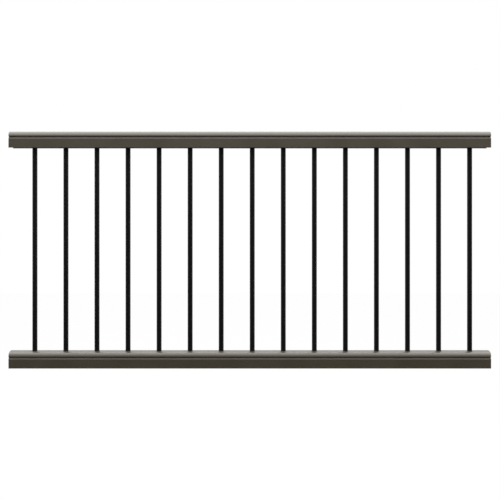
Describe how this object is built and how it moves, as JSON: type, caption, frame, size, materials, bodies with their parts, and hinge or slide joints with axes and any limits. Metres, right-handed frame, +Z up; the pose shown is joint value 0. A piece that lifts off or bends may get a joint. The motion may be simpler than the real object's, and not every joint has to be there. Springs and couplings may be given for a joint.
{
  "type": "deck railing section",
  "caption": "Straight deck railing section: a crowned top rail and a matching bottom rail joined by evenly spaced round balusters.",
  "frame": {"origin": "centre of the bottom rail's left end face, seen from the front", "axes": "+X along the rails to the right, -Y out of the front face towards the viewer, +Z up"},
  "size_m": [1.832, 0.07, 0.902],
  "materials": {
    "bronze_coated_rail": "satin",
    "black_coated_baluster": "satin"
  },
  "bodies": {
    "root": {"bottom_rail": "bronze_coated_rail", "top_rail": "bronze_coated_rail", "baluster_01": "black_coated_baluster", "baluster_02": "black_coated_baluster", "baluster_03": "black_coated_baluster", "baluster_04": "black_coated_baluster", "baluster_05": "black_coated_baluster", "baluster_06": "black_coated_baluster", "baluster_07": "black_coated_baluster", "baluster_08": "black_coated_baluster", "baluster_09": "black_coated_baluster", "baluster_10": "black_coated_baluster", "baluster_11": "black_coated_baluster", "baluster_12": "black_coated_baluster", "baluster_13": "black_coated_baluster", "baluster_14": "black_coated_baluster", "baluster_15": "black_coated_baluster"}
  },
  "joints": []
}
